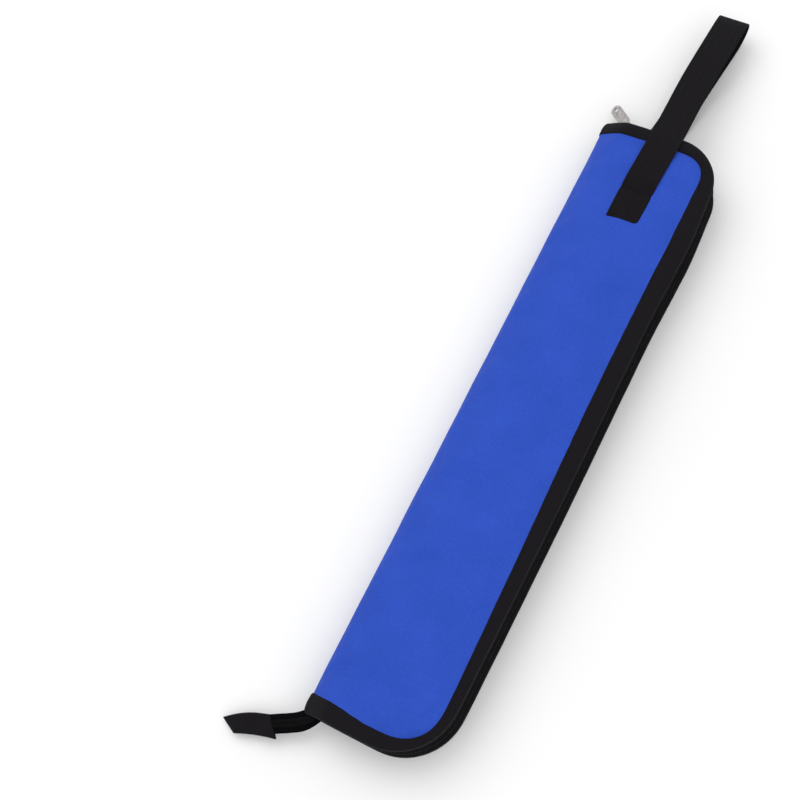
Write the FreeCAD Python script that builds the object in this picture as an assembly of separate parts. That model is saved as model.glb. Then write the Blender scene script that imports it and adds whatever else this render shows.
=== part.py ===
import FreeCAD, Part
import math
import os

# Drum stick bag, closed and lying on its back cover.  Millimetres, +X to the zip
# side, +Y to the handle end, +Z through the thickness.  Shapes are built with x = 0
# at the spine and moved by half the width when they are written.

# Overall size
LENGTH = 450.0
WIDTH = 89.0
THICK = 34.0
CORNER_R = 34.0

# Cover: a flat face that slopes up to a narrow spine
SPINE_H = 10.0
SLOPE_RUN = 16.0
FACE_Z = 1.1
FABRIC = 0.3
FOAM = 1.4
LINING = 0.3

# Edge binding, folded round the cover's edge
BIND_W = 11.0
BIND_LIP = 0.6
EDGE_IN = 1.0

# Zip along the top, right and bottom walls
TAPE_T = 1.0
TAPE_IN = 0.9
TAPE_GAP = 0.8
TEETH_H = 2.4
TEETH_T = 2.4
TEETH_START = 21.0
SLIDER_X = 14.5
SLIDER_L = 10.0
BAIL_UP = 6.2

# Stick pockets
POCKET_T = 0.3
POCKET_GAP = 0.3
POCKET_DROP = 157.0
POCKET_X = 17.5
HEM_W = 12.0

# Carry handle of webbing, sewn to both covers
WEB_T = 1.0
WEB_W = 22.0
HANDLE_X = 44.5
HANDLE_DROP = 49.0
TAB_L = 25.0
LEG_LEN = 150.0
LEG_BEND = 44.0
LEG_LEAN = 1.2
FOLD_R = 4.5

# Tom straps with swivel hooks, one on each lining
STRAP_W = 15.0
STRAP_T = 1.2
STRAP_L = 66.0
STRAP_LIFT = 3.2
STRAP_TILT = 4.0
BACK_STRAP = (WIDTH - BIND_W - 10.0, 38.0, 0.0)
FRONT_STRAP = (56.0, 50.0, 4.0)
BAR_R = 1.2
HOOK_T = 5.0
HOOK_W = 17.0

# Zip tail at the foot of the spine
TAIL_L = 56.0
TAIL_TAPE = 25.0
TAIL_W = 12.0
TAIL_TAB_W = 16.0
TAIL_DROOP = 12.0
TAIL_ANGLE = 26.0

# Derived heights
HINGE_Z = (THICK - SPINE_H) / 2.0
CORE = FABRIC + FOAM + LINING
LINING_Z = FACE_Z + CORE
MID_Z = THICK / 2.0
TOP = LENGTH / 2.0
BOTTOM = -LENGTH / 2.0
CLEAR = 0.15

V = FreeCAD.Vector


def box(x0, x1, y0, y1, z0, z1):
    return Part.makeBox(x1 - x0, y1 - y0, z1 - z0, V(x0, y0, z0))


def prism(points, direction):
    wire = Part.makePolygon(points + [points[0]])
    return Part.Face(wire).extrude(direction)


def plan(inset, x0, z0, z1, y1=None):
    """Solid inside the bag's outline, drawn in by inset, right corners rounded."""
    top = TOP - inset if y1 is None else y1
    low = BOTTOM + inset
    right = WIDTH - inset
    r = CORNER_R - inset
    k = r * math.sqrt(0.5)
    edges = [Part.LineSegment(V(x0, low, 0), V(right - r, low, 0)).toShape()]
    corner = (V(right - r, low, 0), V(right - r + k, low + r - k, 0), V(right, low + r, 0))
    edges.append(Part.Arc(*corner).toShape())
    if y1 is None:
        edges.append(Part.LineSegment(V(right, low + r, 0), V(right, top - r, 0)).toShape())
        corner = (V(right, top - r, 0), V(right - r + k, top - r + k, 0), V(right - r, top, 0))
        edges.append(Part.Arc(*corner).toShape())
        edges.append(Part.LineSegment(V(right - r, top, 0), V(x0, top, 0)).toShape())
    else:
        edges.append(Part.LineSegment(V(right, low + r, 0), V(right, top, 0)).toShape())
        edges.append(Part.LineSegment(V(right, top, 0), V(x0, top, 0)).toShape())
    edges.append(Part.LineSegment(V(x0, top, 0), V(x0, low, 0)).toShape())
    solid = Part.Face(Part.Wire(edges)).extrude(V(0, 0, z1 - z0))
    solid.translate(V(0, 0, z0))
    return solid


def border(outer, inner, x0, z0, z1):
    """C-shaped border between two insets, open at the spine."""
    return plan(outer, x0, z0, z1).cut(plan(inner, x0 - 1.0, z0 - 1.0, z1 + 1.0))


def cover_line(depth):
    """Three points of the cover's section at a depth below its outer face."""
    rise = HINGE_Z - FACE_Z
    length = math.hypot(SLOPE_RUN, rise)
    ux, uz = SLOPE_RUN / length, -rise / length
    ax, az = -uz * depth, HINGE_Z + ux * depth
    to_end = (HINGE_Z - az) / uz
    to_bend = (FACE_Z + depth - az) / uz
    end = (ax + to_end * ux, HINGE_Z)
    bend = (ax + to_bend * ux, FACE_Z + depth)
    return [end, bend, (WIDTH + 5.0, FACE_Z + depth)]


def layer(depth0, depth1):
    """Bent sheet between two depths of the cover, over the whole length."""
    section = cover_line(depth0) + cover_line(depth1)[::-1]
    return prism([V(x, BOTTOM, z) for x, z in section], V(0, LENGTH, 0))


def under(depth):
    """Everything outside the cover's section at a depth."""
    section = [(-20.0, HINGE_Z)] + cover_line(depth)
    section += [(WIDTH + 5.0, -20.0), (-20.0, -20.0)]
    return prism([V(x, BOTTOM - 5.0, z) for x, z in section], V(0, LENGTH + 10.0, 0))


def cover_layer(depth0, depth1):
    return layer(depth0, depth1).common(plan(EDGE_IN, -1.0, -1.0, MID_Z))


def edge_binding():
    band = layer(-FACE_Z, CORE + BIND_LIP).common(border(0.0, BIND_W, -5.0, -1.0, MID_Z))
    band = band.cut(cover_layer(0.0, CORE))
    slope = under(0.0).common(box(-20.0, SLOPE_RUN, -TOP - 5.0, TOP + 5.0, -20.0, MID_Z))
    strap_way = box(SLOPE_RUN - 2.0, 74.0, TOP - BIND_W - 1.0, TOP + 1.0, -1.0, FACE_Z)
    return band.cut(slope).cut(strap_way)


def teeth_row():
    inset = TAPE_IN + (TAPE_T - TEETH_T) / 2.0
    top = MID_Z - TAPE_GAP
    row = border(inset, inset + TEETH_T, 7.0, top - TEETH_H, top)
    return row.cut(box(0.0, TEETH_START, 0.0, TOP + 1.0, 0.0, THICK))


def zip_tape():
    tape = border(TAPE_IN, TAPE_IN + TAPE_T, 4.5, 0.0, MID_Z - TAPE_GAP)
    return tape.cut(under(CORE + BIND_LIP)).cut(teeth_row())


def pocket():
    mouth = TOP - POCKET_DROP
    roof = MID_Z - POCKET_GAP / 2.0
    inset = BIND_W + 0.2
    shell = plan(inset, POCKET_X, LINING_Z, roof, mouth)
    hollow = plan(inset + POCKET_T, POCKET_X + POCKET_T, 0.0, roof - POCKET_T, mouth + 1.0)
    return shell.cut(hollow)


def pocket_hem():
    mouth = TOP - POCKET_DROP
    top = MID_Z - POCKET_GAP / 2.0 - POCKET_T
    left = POCKET_X + POCKET_T
    right = WIDTH - BIND_W - 0.2 - POCKET_T
    return box(left, right, mouth - HEM_W, mouth, top - POCKET_T, top)


def handle_tab():
    top = TOP - HANDLE_DROP
    half = WEB_W / 2.0
    return box(HANDLE_X - half, HANDLE_X + half, top - TAB_L, top, 0.0, FACE_Z)


def handle_pivot():
    return V(HANDLE_X, TOP - HANDLE_DROP + WEB_W / 2.0 + 0.3, 0.0)


def handle_leg():
    """Free leg: flat on the cover, then rising to half of the loop's fold."""
    half = WEB_W / 2.0
    fold_z = MID_Z - 0.1 - FOLD_R
    tip = LEG_LEN - FOLD_R
    low = [V(-half, 0, 0), V(-half, LEG_BEND, 0), V(-half, tip, fold_z)]
    high = [V(-half, tip, fold_z + WEB_T), V(-half, LEG_BEND, WEB_T), V(-half, 0, WEB_T)]
    leg = prism(low + high, V(WEB_W, 0, 0))
    leg = leg.fuse(Part.makeCylinder(half, WEB_T, V(0, 0, 0), V(0, 0, 1)))
    axis_at = V(-half, tip, fold_z + FOLD_R)
    fold = Part.makeCylinder(FOLD_R, WEB_W, axis_at, V(1, 0, 0))
    fold = fold.cut(Part.makeCylinder(FOLD_R - WEB_T, WEB_W, axis_at, V(1, 0, 0)))
    quarter = box(-half, half, tip, tip + FOLD_R, fold_z, fold_z + FOLD_R)
    leg = leg.fuse(fold.common(quarter)).removeSplitter()
    leg.rotate(V(0, 0, 0), V(0, 0, 1), -LEG_LEAN)
    leg.translate(handle_pivot())
    return leg


def place_strap(shape, seat, tilt):
    """Move a strap part from (along, across, up) to its place on the back lining."""
    x, drop, lean = seat
    shape.rotate(V(0, 0, 0), V(0, 1, 0), -tilt)
    shape.rotate(V(0, 0, 0), V(0, 0, 1), -90.0 - lean)
    shape.translate(V(x, TOP - drop, LINING_Z + STRAP_LIFT))
    return shape


def strap_anchor(seat):
    half = STRAP_W / 2.0
    patch = box(-10.0, 0.0, -half, half, -STRAP_LIFT, -STRAP_T / 2.0 - 0.1)
    return place_strap(patch, seat, 0.0)


def tom_strap(seat):
    half = STRAP_W / 2.0
    web = box(0.0, STRAP_L - 1.8, -half, half, -STRAP_T / 2.0, STRAP_T / 2.0)
    web = web.fuse(Part.makeCylinder(STRAP_T / 2.0, STRAP_W, V(0, -half, 0), V(0, 1, 0)))
    eye = Part.makeCylinder(BAR_R + 1.2, STRAP_W - 2.0, V(STRAP_L, 1.0 - half, 0), V(0, 1, 0))
    bore = Part.makeCylinder(BAR_R + 0.05, STRAP_W + 4.0, V(STRAP_L, -half - 2.0, 0), V(0, 1, 0))
    return place_strap(web.fuse(eye).cut(bore).removeSplitter(), seat, STRAP_TILT)


def hook_base(seat):
    """Trapezoid loop that the webbing runs through, with the swivel's collar."""
    s = STRAP_L
    outer = [V(s - 1.8, -9.4, -1.9), V(s - 1.8, 9.4, -1.9), V(s + 14.0, 4.6, -1.9), V(s + 14.0, -4.6, -1.9)]
    inner = [V(s - 3.0, -8.0, -3.0), V(s - 3.0, 8.0, -3.0), V(s + 9.6, 4.8, -3.0), V(s + 9.6, -4.8, -3.0)]
    frame = prism(outer, V(0, 0, 3.8)).cut(prism(inner, V(0, 0, 6.0)))
    frame = frame.fuse(Part.makeCylinder(BAR_R, 17.0, V(s, -8.5, 0), V(0, 1, 0)))
    frame = frame.fuse(Part.makeCylinder(2.9, 4.4, V(s + 9.6, 0, 0), V(1, 0, 0)))
    frame = frame.cut(Part.makeCylinder(1.7, 8.0, V(s + 8.0, 0, 0), V(1, 0, 0)))
    for side in (-1.0, 1.0):
        hole = Part.makeCylinder(0.7, 6.0, V(s + 9.9, side * 4.1, -3.0), V(0, 0, 1))
        frame = frame.cut(hole)
    return place_strap(frame.removeSplitter(), seat, STRAP_TILT)


def hook_slot(s):
    """Way through the hook's side that the gate closes, with its cheeks left on."""
    cheeks = box(s + 17.6, s + 24.0, 5.0, 10.0, -1.8, 1.8)
    return cheeks.fuse(box(s + 23.6, s + 31.6, 5.0, 10.0, -4.0, 4.0))


def hook_body(seat):
    s = STRAP_L
    half = HOOK_W / 2.0
    stem = Part.makeCylinder(1.6, 7.0, V(s + 8.6, 0, 0), V(1, 0, 0))
    head = Part.makeCylinder(2.5, 1.4, V(s + 7.9, 0, 0), V(1, 0, 0))
    shoulder = Part.makeCylinder(2.9, 3.0, V(s + 14.2, 0, 0), V(1, 0, 0))
    ring = box(s + 15.6, s + 27.5, -half, half, -HOOK_T / 2.0, HOOK_T / 2.0)
    bow = Part.makeCylinder(half, HOOK_T, V(s + 27.5, 0, -HOOK_T / 2.0), V(0, 0, 1))
    eye = box(s + 19.2, s + 27.5, -5.2, 5.0, -4.0, 4.0)
    eye = eye.fuse(Part.makeCylinder(5.1, 8.0, V(s + 27.5, 0, -4.0), V(0, 0, 1)))
    eye = eye.fuse(box(s + 27.5, s + 31.6, 0.0, 5.05, -4.0, 4.0))
    hook = ring.fuse(bow).cut(eye).cut(hook_slot(s)).fuse(shoulder).fuse(stem).fuse(head)
    hook = hook.cut(gate_pin_at(s, 0.0))
    return place_strap(hook.removeSplitter(), seat, STRAP_TILT)


def gate_pin_at(s, extra):
    return Part.makeCylinder(0.8 + extra, HOOK_T, V(s + 20.6, 6.8, -HOOK_T / 2.0), V(0, 0, 1))


def hook_gate(seat):
    s = STRAP_L
    gate = box(s + 20.6, s + 31.2, 5.5, 8.1, -1.6, 1.6)
    gate = gate.fuse(Part.makeCylinder(1.3, 3.2, V(s + 20.6, 6.8, -1.6), V(0, 0, 1)))
    gate = gate.cut(gate_pin_at(s, 0.05))
    return place_strap(gate.removeSplitter(), seat, STRAP_TILT)


def hook_gate_pin(seat):
    return place_strap(gate_pin_at(STRAP_L, 0.0), seat, STRAP_TILT)


def spine_sheet(x0, x1):
    return box(x0, x1, BOTTOM + EDGE_IN, TOP - EDGE_IN, HINGE_Z + CLEAR, THICK - HINGE_Z - CLEAR)


def slider_origin():
    return V(SLIDER_X, TOP - TAPE_IN - TAPE_T / 2.0, MID_Z)


def zip_slider():
    """Slider body with its bail, open on the front side so the front tape can leave."""
    half = SLIDER_L / 2.0
    body = box(-half, half, 1.5, 2.7, -4.4, 4.4)
    body = body.fuse(box(-half, half, -2.7, -1.5, -4.4, 4.4))
    body = body.fuse(box(-half, -1.5, -1.5, 1.5, -0.6, 0.6))
    body = body.fuse(box(-half, half, 0.7, 1.5, -4.4, -3.5))
    body = body.fuse(box(-half, half, -1.5, -0.7, -4.4, -3.5))
    for side in (-1.0, 1.0):
        body = body.fuse(Part.makeCylinder(0.7, BAIL_UP - 2.7, V(side * 4.2, 2.7, 0), V(0, 1, 0)))
        body = body.fuse(Part.makeSphere(0.7, V(side * 4.2, BAIL_UP, 0)))
    body = body.fuse(Part.makeCylinder(0.7, 8.4, V(-4.2, BAIL_UP, 0), V(1, 0, 0)))
    body = body.removeSplitter()
    body.translate(slider_origin())
    return body


def pull_tab():
    """Pull tab that stands out obliquely from the bail and droops a little."""
    along = V(-20.0, 17.0, -9.0).normalize()
    flat = V(17.0, 20.0, 0.0).normalize()
    roll = math.radians(25.0)
    across = flat * math.cos(roll) - along.cross(flat) * math.sin(roll)
    up = along.cross(across)
    outline = [(-0.6, -2.6), (4.5, -2.6), (8.0, -4.0), (22.0, -4.0)]
    outline += [(x, -y) for x, y in outline[::-1]]
    tab = prism([V(x, y, -0.7) for x, y in outline], V(0, 0, 1.4))
    tab = tab.fuse(Part.makeCylinder(2.6, 1.4, V(-0.6, 0, -0.7), V(0, 0, 1)))
    tab = tab.fuse(Part.makeCylinder(4.0, 1.4, V(22.0, 0, -0.7), V(0, 0, 1)))
    eye = box(-1.9, 1.9, -1.0, 1.0, -2.0, 2.0)
    for side in (-1.9, 1.9):
        eye = eye.fuse(Part.makeCylinder(1.0, 4.0, V(side, 0, -2.0), V(0, 0, 1)))
    eye.rotate(V(0, 0, 0), V(0, 0, 1), math.degrees(math.atan2(across.x, along.x)))
    tab = tab.cut(eye).cut(Part.makeCylinder(1.5, 4.0, V(22.5, 0, -2.0), V(0, 0, 1)))
    move = FreeCAD.Matrix(along.x, across.x, up.x, 0, along.y, across.y, up.y, 0,
                          along.z, across.z, up.z, 0, 0, 0, 0, 1)
    tab = tab.removeSplitter().transformGeometry(move)
    tab.translate(slider_origin() + V(0, BAIL_UP, 0))
    return tab


def zip_stop():
    """Metal stop crimped over the back tape's top edge, between slider and spine."""
    y = TOP - TAPE_IN
    z = MID_Z - TAPE_GAP
    stop = box(5.0, 8.0, y - TAPE_T - 0.5, y + 0.5, z - 3.0, z + 0.5)
    return stop.cut(zip_tape())


def place_tail(shape):
    shape.rotate(V(0, 0, 0), V(0, 1, 0), TAIL_DROOP)
    shape.rotate(V(0, 0, 0), V(0, 0, 1), 180.0 + TAIL_ANGLE)
    shape.translate(V(2.0, BOTTOM - 6.6, MID_Z - 2.0))
    return shape


def tail_tape():
    return place_tail(box(0.0, TAIL_TAPE, -TAIL_W / 2.0, TAIL_W / 2.0, -0.5, 0.5))


def tail_teeth():
    return place_tail(box(0.0, TAIL_TAPE, -2.3, 2.3, 0.5, 1.7))


def tail_tab():
    """Folded cloth end of the zip, cut unevenly at its corners."""
    half = TAIL_TAB_W / 2.0
    end = TAIL_L
    outline = [(TAIL_TAPE, -half + 1.5), (TAIL_TAPE + 3.0, -half), (end - 6.0, -half - 0.6)]
    outline += [(end, -half + 4.5), (end - 1.2, half - 3.0), (end - 5.0, half), (TAIL_TAPE, half - 1.0)]
    return place_tail(prism([V(x, y, -1.4) for x, y in outline], V(0, 0, 2.8)))


def mirrored(shape):
    return shape.mirror(V(0, 0, MID_Z), V(0, 0, 1))


def write(name, shape):
    shape.translate(V(-WIDTH / 2.0, 0, 0))
    shape.exportStep("parts/" + name + ".step")


def strap_set(seat):
    return {
        "strap_anchor": strap_anchor(seat),
        "tom_strap": tom_strap(seat),
        "hook_base": hook_base(seat),
        "hook_body": hook_body(seat),
        "hook_gate": hook_gate(seat),
        "hook_gate_pin": hook_gate_pin(seat),
    }


def cover_set():
    return {
        "outer_fabric": cover_layer(0.0, FABRIC),
        "foam": cover_layer(FABRIC, FABRIC + FOAM),
        "lining": cover_layer(FABRIC + FOAM, CORE),
        "edge_binding": edge_binding(),
        "zip_tape": zip_tape(),
        "zip_teeth": teeth_row(),
        "pocket": pocket(),
        "pocket_hem": pocket_hem(),
        "handle_tab": handle_tab(),
        "handle_leg": handle_leg(),
    }


os.makedirs("parts", exist_ok=True)

for part, solid in {**cover_set(), **strap_set(BACK_STRAP)}.items():
    write("back_" + part, solid)

for part, solid in {**cover_set(), **strap_set(FRONT_STRAP)}.items():
    write("front_" + part, mirrored(solid))

write("spine_outer_fabric", spine_sheet(0.0, FABRIC))
write("spine_foam", spine_sheet(FABRIC, FABRIC + FOAM))
write("spine_lining", spine_sheet(FABRIC + FOAM, CORE))
write("zip_slider", zip_slider())
write("zip_pull_tab", pull_tab())
write("zip_stop", zip_stop())
write("zip_tail_tape", tail_tape())
write("zip_tail_teeth", tail_teeth())
write("zip_tail_end_tab", tail_tab())
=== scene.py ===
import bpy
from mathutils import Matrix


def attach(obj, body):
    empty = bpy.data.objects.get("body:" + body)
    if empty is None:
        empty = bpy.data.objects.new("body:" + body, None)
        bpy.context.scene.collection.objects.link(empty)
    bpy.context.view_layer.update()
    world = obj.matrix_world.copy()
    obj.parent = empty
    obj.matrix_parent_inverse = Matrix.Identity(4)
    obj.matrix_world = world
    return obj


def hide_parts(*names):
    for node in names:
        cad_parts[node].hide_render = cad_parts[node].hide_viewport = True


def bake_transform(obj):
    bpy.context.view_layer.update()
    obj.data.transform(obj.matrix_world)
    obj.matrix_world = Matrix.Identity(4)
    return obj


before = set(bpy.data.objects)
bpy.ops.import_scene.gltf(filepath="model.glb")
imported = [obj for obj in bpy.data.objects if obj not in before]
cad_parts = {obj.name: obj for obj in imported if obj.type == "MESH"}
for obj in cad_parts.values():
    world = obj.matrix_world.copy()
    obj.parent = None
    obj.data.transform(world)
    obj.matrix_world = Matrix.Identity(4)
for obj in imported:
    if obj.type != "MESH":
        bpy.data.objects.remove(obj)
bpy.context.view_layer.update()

import math

import bmesh
import bpy
from mathutils import Matrix, Vector, noise

# All lengths below are in millimetres.  x runs from the spine, y from the middle of
# the bag's length, z up from the table.  put() moves them to the frame, in metres.
MM = 0.001
LENGTH = 450.0
WIDTH = 89.0
THICK = 34.0
HEAD_R = 31.0
FOOT_R = 41.0
HINGE_Z = 12.0
FACE_Z = 1.1
SLOPE = 16.0
COVER_T = 2.0
TOP = LENGTH / 2.0
MID = THICK / 2.0
TAPE_IN = 1.4

HANDLE_X = 44.5
TAB_LOW = 151.0
TAB_TOP = 176.0
WEB_W = 22.4
LEAN = 1.2

# The back cover lies on the table: lowest middle of its cloth, webbing and thread
BACK_SKIN_Z = 0.65
BACK_BIND_Z = 0.25
BACK_WEB_Z = 0.85
BACK_THREAD_Z = 0.36

# Most that a point of cloth moves as a cover swells.  The lining stays close to the
# foam, which leaves the tom hooks room to turn.
LINING_CAP = 0.05
SKIN_CAP = {"front": 2.4, "back": 1.2}

# The pockets stop short of the fold at the spine
POCKET_X0 = 7.5


def put(p):
    return Vector(((p[0] - WIDTH / 2.0) * MM, p[1] * MM, p[2] * MM))


def smooth(t):
    t = min(max(t, 0.0), 1.0)
    return t * t * (3.0 - 2.0 * t)


def wob(x, y, z=0.0, size=10.0, seed=0.0):
    return noise.noise(Vector((x / size + seed, y / size - seed, z / size + 2.0 * seed)))


def spline(points, n):
    """Catmull-Rom through control points, n steps per span."""
    pts = [Vector(p) for p in points]
    pts = [2 * pts[0] - pts[1]] + pts + [2 * pts[-1] - pts[-2]]
    out = []
    for i in range(1, len(pts) - 2):
        a, b, c, d = pts[i - 1:i + 3]
        for k in range(n):
            t = k / n
            out.append(0.5 * (2 * b + (c - a) * t + (2 * a - 5 * b + 4 * c - d) * t * t
                              + (3 * b - a - 3 * c + d) * t ** 3))
    out.append(pts[-2])
    return out


# ---------------------------------------------------------------- materials

class Nodes:
    """Short hand for a material's node tree."""

    def __init__(self, name):
        self.mat = bpy.data.materials.new(name)
        self.mat.use_nodes = True
        self.tree = self.mat.node_tree
        self.bsdf = self.tree.nodes["Principled BSDF"]

    def add(self, kind, **values):
        node = self.tree.nodes.new(kind)
        for key, value in values.items():
            setattr(node, key, value)
        return node

    def link(self, out, socket):
        if isinstance(out, (int, float)):
            socket.default_value = out
        else:
            self.tree.links.new(out, socket)

    def math(self, op, a, b=0.0, c=None):
        node = self.add("ShaderNodeMath", operation=op)
        self.link(a, node.inputs[0])
        self.link(b, node.inputs[1])
        if c is not None:
            self.link(c, node.inputs[2])
        return node.outputs[0]

    def noise(self, vector, scale, detail=3.0, rough=0.55):
        node = self.add("ShaderNodeTexNoise")
        self.link(vector, node.inputs["Vector"])
        node.inputs["Scale"].default_value = scale
        node.inputs["Detail"].default_value = detail
        node.inputs["Roughness"].default_value = rough
        return node.outputs["Fac"]

    def mix(self, factor, a, b):
        node = self.add("ShaderNodeMix", data_type="RGBA")
        self.link(factor, node.inputs["Factor"])
        for value, socket in ((a, node.inputs["A"]), (b, node.inputs["B"])):
            if isinstance(value, tuple):
                socket.default_value = (*value, 1.0)
            else:
                self.link(value, socket)
        return node.outputs["Result"]

    def ramp(self, value, low, high):
        node = self.add("ShaderNodeMapRange")
        self.link(value, node.inputs["Value"])
        node.inputs["From Min"].default_value = low
        node.inputs["From Max"].default_value = high
        return node.outputs["Result"]

    def wave(self, value, period):
        return self.math("SINE", self.math("MULTIPLY", value, 2.0 * math.pi / period))

    def bump(self, height, distance, strength=1.0):
        node = self.add("ShaderNodeBump")
        node.inputs["Distance"].default_value = distance
        node.inputs["Strength"].default_value = strength
        self.link(height, node.inputs["Height"])
        self.link(node.outputs["Normal"], self.bsdf.inputs["Normal"])


def cloth_coords(n):
    """Millimetres along and across the cloth, stored on the mesh when it's made."""
    attribute = n.add("ShaderNodeAttribute", attribute_name="cloth")
    split = n.add("ShaderNodeSeparateXYZ")
    n.link(attribute.outputs["Vector"], split.inputs[0])
    return attribute.outputs["Vector"], split.outputs[0], split.outputs[1]


def plain_weave(name, colour, dark, pitch, depth, rough, sheen, mottle=0.35):
    """Plain weave of flat yarns: uneven dye, painted shade in the weave's hollows, slight coating shine."""
    n = Nodes(name)
    vec, u, v = cloth_coords(n)
    drift = n.math("MULTIPLY", n.math("SUBTRACT", n.noise(vec, 0.35, 2.0), 0.5), 0.35)
    weft = n.wave(n.math("ADD", u, drift), pitch)
    warp = n.wave(n.math("ADD", v, drift), pitch)
    weave = n.math("MULTIPLY", weft, warp)
    height = n.math("ADD", n.math("MULTIPLY", weave, 0.5), 0.5)
    patch = n.ramp(n.noise(vec, 0.035, 4.0), 0.3, 0.7)
    slub = n.ramp(n.noise(vec, 0.55, 5.0, 0.7), 0.35, 0.68)
    # The tone follows the weave's relief, darker where the yarns dip: painted shade, mixed with the slubs'
    # and patches' own uneven dye.
    tone = n.math("ADD", n.math("MULTIPLY", height, 0.45), n.math("MULTIPLY", slub, mottle))
    tone = n.math("ADD", tone, n.math("MULTIPLY", patch, 0.25))
    n.link(n.mix(tone, dark, colour), n.bsdf.inputs["Base Color"])
    n.link(n.math("MULTIPLY_ADD", slub, 0.12, rough), n.bsdf.inputs["Roughness"])
    n.bsdf.inputs["Sheen Weight"].default_value = sheen
    n.bsdf.inputs["Specular IOR Level"].default_value = 0.09
    n.bsdf.inputs["Sheen Roughness"].default_value = 0.45
    n.bump(n.math("ADD", height, n.math("MULTIPLY", slub, 0.6)), depth * MM)
    return n.mat


def webbing_weave(name, colour, dark, period, rib, depth, rough, shine=0.09, sheen=0.015):
    """Herringbone webbing: slanted ribs that turn back across the width."""
    n = Nodes(name)
    vec, u, v = cloth_coords(n)
    zig = n.math("PINGPONG", v, period)
    ribs = n.wave(n.math("ADD", u, n.math("MULTIPLY", zig, 0.75)), rib)
    across = n.math("ABSOLUTE", n.math("SINE", n.math("MULTIPLY", v, math.pi / period)))
    valley = n.math("POWER", across, 0.35)
    fuzz = n.ramp(n.noise(vec, 1.1, 4.0, 0.7), 0.3, 0.7)
    height = n.math("MULTIPLY", n.math("MULTIPLY_ADD", ribs, 0.5, 0.5), valley)
    # The tone follows the ribs' relief, darker in the grooves and at the herringbone's turns: painted
    # shade, mixed with the fuzz's own uneven tone.
    tone = n.math("ADD", n.math("MULTIPLY", height, 0.6), n.math("MULTIPLY", fuzz, 0.4))
    n.link(n.mix(tone, dark, colour), n.bsdf.inputs["Base Color"])
    n.link(n.math("MULTIPLY_ADD", fuzz, 0.15, rough), n.bsdf.inputs["Roughness"])
    n.bsdf.inputs["Sheen Weight"].default_value = sheen
    n.bsdf.inputs["Specular IOR Level"].default_value = shine
    n.bsdf.inputs["Sheen Roughness"].default_value = 0.5
    n.bump(n.math("ADD", height, n.math("MULTIPLY", fuzz, 0.3)), depth * MM)
    return n.mat


def object_mm(n):
    coords = n.add("ShaderNodeTexCoord")
    scale = n.add("ShaderNodeVectorMath", operation="SCALE")
    n.link(coords.outputs["Object"], scale.inputs[0])
    scale.inputs["Scale"].default_value = 1000.0
    return scale.outputs[0]


def worn_metal(name, colour, dark, rough):
    n = Nodes(name)
    vec = object_mm(n)
    blot = n.ramp(n.noise(vec, 0.35, 5.0, 0.65), 0.35, 0.7)
    fine = n.noise(vec, 4.0, 3.0)
    n.link(n.mix(blot, dark, colour), n.bsdf.inputs["Base Color"])
    n.bsdf.inputs["Metallic"].default_value = 1.0
    worn = n.math("SUBTRACT", 1.0, blot)
    n.link(n.math("MULTIPLY_ADD", worn, 0.18, rough), n.bsdf.inputs["Roughness"])
    n.bump(n.math("ADD", n.math("MULTIPLY", fine, 0.5), blot), 0.05 * MM)
    return n.mat


def moulded(name, colour, dark, rough, shine=0.35):
    n = Nodes(name)
    n.bsdf.inputs["Specular IOR Level"].default_value = shine
    vec = object_mm(n)
    grain = n.noise(vec, 3.5, 4.0, 0.6)
    cloud = n.ramp(n.noise(vec, 0.25, 3.0), 0.3, 0.7)
    n.link(n.mix(cloud, dark, colour), n.bsdf.inputs["Base Color"])
    n.link(n.math("MULTIPLY_ADD", grain, 0.15, rough), n.bsdf.inputs["Roughness"])
    n.bump(grain, 0.04 * MM)
    return n.mat


def floor_material():
    n = Nodes("floor")
    vec = object_mm(n)
    cloud = n.noise(vec, 0.004, 2.0)
    n.link(n.mix(cloud, (0.86, 0.86, 0.86), (0.9, 0.9, 0.9)), n.bsdf.inputs["Base Color"])
    n.bsdf.inputs["Roughness"].default_value = 0.7
    return n.mat


BLUE = plain_weave("oxford_blue", (0.032, 0.092, 0.560), (0.016, 0.055, 0.370), 0.9, 0.10, 0.6, 0.03)
POCKET_BLUE = plain_weave("oxford_blue_pocket", (0.034, 0.092, 0.570), (0.017, 0.055, 0.37),
                          0.9, 0.10, 0.6, 0.03)
LINING = plain_weave("lining_black", (0.013, 0.013, 0.015), (0.005, 0.005, 0.006), 0.5, 0.05, 0.5, 0.02)
BINDING = webbing_weave("binding_black", (0.0092, 0.0076, 0.0108), (0.0034, 0.0027, 0.0040),
                        1.6, 0.8, 0.10, 0.62)
WEBBING = webbing_weave("webbing_black", (0.0085, 0.0068, 0.0100), (0.0027, 0.0021, 0.0032),
                        2.75, 1.1, 0.22, 0.58)
TAPE = webbing_weave("tape_black", (0.0048, 0.0040, 0.0054), (0.0018, 0.0015, 0.0020),
                     1.2, 0.6, 0.06, 0.75, 0.02, 0.0)
THREAD = moulded("thread_black", (0.012, 0.010, 0.013), (0.006, 0.005, 0.007), 0.55, 0.15)
BLUE_THREAD = moulded("thread_blue", (0.04, 0.10, 0.50), (0.03, 0.07, 0.36), 0.5)
COIL = moulded("coil_black", (0.006, 0.006, 0.0065), (0.003, 0.003, 0.0035), 0.5, 0.05)
METAL = worn_metal("slider_metal", (0.62, 0.60, 0.60), (0.34, 0.31, 0.31), 0.26)
PLASTIC = moulded("hook_black", (0.018, 0.018, 0.019), (0.010, 0.010, 0.010), 0.38)
PIN = worn_metal("pin_steel", (0.55, 0.55, 0.55), (0.35, 0.35, 0.35), 0.3)


# ---------------------------------------------------------------- mesh helpers

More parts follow.
